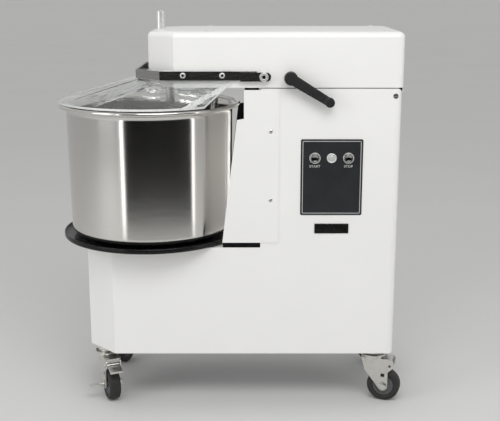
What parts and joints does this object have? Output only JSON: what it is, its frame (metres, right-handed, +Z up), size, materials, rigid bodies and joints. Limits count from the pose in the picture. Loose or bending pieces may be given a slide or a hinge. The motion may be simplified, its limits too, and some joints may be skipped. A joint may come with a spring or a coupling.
{
  "type": "spiral dough mixer",
  "caption": "Tilting-head spiral dough mixer on casters: steel bowl on a turntable, spiral hook, breaker bar, hinged clear guard and side head clamp.",
  "frame": {"origin": "on the floor, under the middle of the machine's overall length and width", "axes": "+Z up; the bowl is towards -X and the column towards +X; the operator's side with the buttons and the clamp lever faces -Y"},
  "size_m": [0.8319, 0.438, 0.936],
  "materials": {
    "white_paint": "smooth white powder coat",
    "black_coat": "gloss black coat",
    "bowl_steel": "spun and brushed stainless steel",
    "polished_steel": "polished stainless steel",
    "brushed_bar": "brushed stainless bar",
    "zinc": "bright zinc plate",
    "tread": "black solid rubber",
    "clear_plastic": "clear polycarbonate",
    "black_plastic": "matt black plastic",
    "panel_film": "semi-gloss membrane film",
    "button_steel": "polished steel push button",
    "lamp_plastic": "milky lens",
    "cast": "grey painted casting",
    "frame_steel": "grey primer on welded steel",
    "machined": "machined steel",
    "motor_paint": "blue-grey enamel"
  },
  "bodies": {
    "base": {"base_casing": "white_paint", "column_casing": "white_paint", "chassis_plate": "frame_steel", "rear_cover": "white_paint", "cover_screws": "zinc", "column_frame": "frame_steel", "hinge_pin": "machined", "gap_panel_near": "white_paint", "gap_panel_far": "white_paint", "caster_plates": "zinc", "control_panel": "panel_film", "name_plate": "panel_film", "button_bezels": "button_steel", "signal_lamp": "lamp_plastic", "control_box": "black_plastic", "cable_gland": "black_plastic", "motor": "motor_paint", "gearbox": "cast", "bowl_chain": "machined", "spindle_bridge": "frame_steel", "bowl_bearings": "machined"},
    "bowl_assembly": {"bowl_wall": "bowl_steel", "bowl_bottom": "bowl_steel", "turntable_disc": "black_coat", "bowl_spindle": "machined", "bowl_sprocket": "machined"},
    "drive": {"drive_shaft": "machined", "drive_sprocket": "machined"},
    "head": {"head_cover": "white_paint", "head_base_plate": "bowl_steel", "head_frame": "frame_steel", "head_chain": "machined", "spiral_bearing_housing": "cast", "spiral_bearings": "machined", "breaker_bar": "polished_steel", "lifting_post": "polished_steel", "guard_pivot_bolts": "zinc"},
    "head_drive": {"head_shaft": "machined", "head_sprocket": "machined"},
    "spiral": {"spiral_hook": "polished_steel", "spiral_sprocket": "machined"},
    "guard": {"guard_frame": "brushed_bar", "guard_lid": "clear_plastic", "guard_screws": "zinc"},
    "head_clamp": {"clamp_lever": "black_plastic", "clamp_shaft": "machined"},
    "spring_cylinder": {"gas_spring_cylinder": "motor_paint"},
    "spring_rod": {"gas_spring_rod": "machined"},
    "start": {"start_button": "button_steel"},
    "stop": {"stop_button": "button_steel"},
    "fork_front_near": {"caster_fork_front_near": "zinc"},
    "wheel_front_near": {"caster_wheel_front_near": "tread"},
    "pedal_front_near": {"brake_pedal_front_near": "zinc"},
    "fork_front_far": {"caster_fork_front_far": "zinc"},
    "wheel_front_far": {"caster_wheel_front_far": "tread"},
    "pedal_front_far": {"brake_pedal_front_far": "zinc"},
    "fork_rear_near": {"caster_fork_rear_near": "zinc"},
    "wheel_rear_near": {"caster_wheel_rear_near": "tread"},
    "fork_rear_far": {"caster_fork_rear_far": "zinc"},
    "wheel_rear_far": {"caster_wheel_rear_far": "tread"}
  },
  "joints": [
    {"name": "bowl_spin", "type": "hinge", "parent": "base", "child": "bowl_assembly", "pos_m": [-0.197, 0, 0.4], "axis": [0, 0, 1], "continuous": true},
    {"name": "drive_spin", "type": "hinge", "parent": "base", "child": "drive", "pos_m": [0.153, 0, 0.52], "axis": [0, 0, 1], "continuous": true},
    {"name": "head_tilt", "type": "hinge", "parent": "base", "child": "head", "pos_m": [0.375, 0, 0.75], "axis": [0, 1, 0], "range_deg": [0, 50]},
    {"name": "head_drive_spin", "type": "hinge", "parent": "head", "child": "head_drive", "pos_m": [0.153, 0, 0.8], "axis": [0, 0, 1], "continuous": true},
    {"name": "spiral_spin", "type": "hinge", "parent": "head", "child": "spiral", "pos_m": [-0.067, 0, 0.8], "axis": [0, 0, 1], "continuous": true},
    {"name": "guard_open", "type": "hinge", "parent": "head", "child": "guard", "pos_m": [0.077, 0, 0.794], "axis": [0, 1, 0], "range_deg": [0, 70]},
    {"name": "clamp_turn", "type": "hinge", "parent": "head", "child": "head_clamp", "pos_m": [0.1375, -0.15, 0.791], "axis": [0, -1, 0], "range_deg": [0, 90]},
    {"name": "spring_swing", "type": "hinge", "parent": "base", "child": "spring_cylinder", "pos_m": [0.323, 0.095, 0.58], "axis": [0, 1, 0], "range_deg": [0, 20]},
    {"name": "spring_slide", "type": "slide", "parent": "spring_cylinder", "child": "spring_rod", "axis": [-0.1351, 0, 0.9908], "range_m": [0, 0.055]},
    {"name": "start_press", "type": "slide", "parent": "base", "child": "start", "axis": [0, 1, 0], "range_m": [0, 0.003], "stiffness_N_per_m": 600, "springref_m": -0.001},
    {"name": "stop_press", "type": "slide", "parent": "base", "child": "stop", "axis": [0, 1, 0], "range_m": [0, 0.003], "stiffness_N_per_m": 600, "springref_m": -0.001},
    {"name": "swivel_front_near", "type": "hinge", "parent": "base", "child": "fork_front_near", "pos_m": [-0.306, -0.092, 0.115], "axis": [0, 0, 1], "continuous": true},
    {"name": "roll_front_near", "type": "hinge", "parent": "fork_front_near", "child": "wheel_front_near", "pos_m": [-0.29506, -0.11777, 0.04], "axis": [0.9205, 0.3907, 0], "continuous": true},
    {"name": "brake_front_near", "type": "hinge", "parent": "fork_front_near", "child": "pedal_front_near", "pos_m": [-0.28881, -0.1325, 0.093], "axis": [0.9205, 0.3907, 0], "range_deg": [0, 12]},
    {"name": "swivel_front_far", "type": "hinge", "parent": "base", "child": "fork_front_far", "pos_m": [-0.306, 0.092, 0.115], "axis": [0, 0, 1], "continuous": true},
    {"name": "roll_front_far", "type": "hinge", "parent": "fork_front_far", "child": "wheel_front_far", "pos_m": [-0.29506, 0.11777, 0.04], "axis": [-0.9205, 0.3907, 0], "continuous": true},
    {"name": "brake_front_far", "type": "hinge", "parent": "fork_front_far", "child": "pedal_front_far", "pos_m": [-0.28881, 0.1325, 0.093], "axis": [-0.9205, 0.3907, 0], "range_deg": [0, 12]},
    {"name": "swivel_rear_near", "type": "hinge", "parent": "base", "child": "fork_rear_near", "pos_m": [0.3483, -0.112, 0.115], "axis": [0, 0, 1], "continuous": true},
    {"name": "roll_rear_near", "type": "hinge", "parent": "fork_rear_near", "child": "wheel_rear_near", "pos_m": [0.37493, -0.12065, 0.04], "axis": [0.309, 0.9511, 0], "continuous": true},
    {"name": "swivel_rear_far", "type": "hinge", "parent": "base", "child": "fork_rear_far", "pos_m": [0.3483, 0.112, 0.115], "axis": [0, 0, 1], "continuous": true},
    {"name": "roll_rear_far", "type": "hinge", "parent": "fork_rear_far", "child": "wheel_rear_far", "pos_m": [0.37493, 0.12065, 0.04], "axis": [-0.309, 0.9511, 0], "continuous": true}
  ],
  "couplings": [
    {"joint": "drive_spin", "follows": "bowl_spin", "ratio": 3.6},
    {"joint": "head_drive_spin", "follows": "bowl_spin", "ratio": 3.6},
    {"joint": "spiral_spin", "follows": "bowl_spin", "ratio": 7.2},
    {"joint": "spring_swing", "follows": "head_tilt", "ratio": 0.311},
    {"joint": "spring_slide", "follows": "head_tilt", "m_per_rad": 0.056274}
  ]
}
